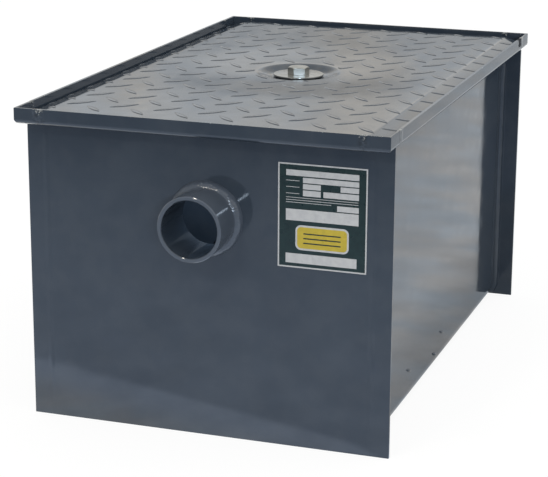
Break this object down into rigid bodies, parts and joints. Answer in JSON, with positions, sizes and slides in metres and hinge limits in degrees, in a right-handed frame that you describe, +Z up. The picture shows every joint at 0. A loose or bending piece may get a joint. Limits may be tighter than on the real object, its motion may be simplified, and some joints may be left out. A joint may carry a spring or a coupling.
{
  "type": "grease trap",
  "caption": "Steel box grease trap with a plain pipe stub at each end, lift-out baffles inside and a tread plate lid held on a gasketed rim by a centre bolt.",
  "frame": {"origin": "On the floor under the middle of the tank, which is the bottom centre of its bounding box.", "axes": "+Z is up. The tank's length runs along Y, with the inlet stub facing -Y and the outlet stub facing +Y. X runs across the tank."},
  "size_m": [0.353, 0.609, 0.3],
  "materials": {
    "tank_paint": "glossy dark slate-grey enamel over welded carbon steel sheet, scuffed at the rim welds",
    "lid_paint": "the same grey enamel over raised-lug tread plate, lightly dusted",
    "zinc_steel": "bright zinc plating",
    "seal_rubber": "black closed-cell rubber",
    "label_film": "dark green printed film with blank pale fields"
  },
  "bodies": {
    "tank": {"tank_shell": "tank_paint", "inlet_end_plate": "tank_paint", "outlet_end_plate": "tank_paint", "rim_corner_front_left": "tank_paint", "rim_corner_front_right": "tank_paint", "rim_corner_rear_left": "tank_paint", "rim_corner_rear_right": "tank_paint", "inlet_stub": "tank_paint", "outlet_stub": "tank_paint", "inlet_baffle": "tank_paint", "outlet_baffle": "tank_paint", "inlet_guide_left": "tank_paint", "inlet_guide_right": "tank_paint", "outlet_guide_left": "tank_paint", "outlet_guide_right": "tank_paint", "anchor_bar": "tank_paint", "anchor_nut": "tank_paint", "lid_gasket": "seal_rubber", "rating_label": "label_film"},
    "lid": {"lid_plate": "lid_paint"},
    "washer": {"bolt_seal": "seal_rubber", "lid_washer": "zinc_steel"},
    "bolt": {"lid_bolt": "zinc_steel"}
  },
  "joints": [
    {"name": "lid_lift", "type": "slide", "parent": "tank", "child": "lid", "axis": [0, 0, 1], "range_m": [0, 0.3]},
    {"name": "bolt_rise", "type": "slide", "parent": "lid", "child": "washer", "axis": [0, 0, 1], "range_m": [0, 0.0254]},
    {"name": "bolt_turn", "type": "hinge", "parent": "washer", "child": "bolt", "pos_m": [0, 0, 0.293], "axis": [0, 0, 1], "range_deg": [0, 4680]}
  ],
  "couplings": [
    {"joint": "bolt_turn", "follows": "bolt_rise", "rad_per_m": 3215.6}
  ]
}
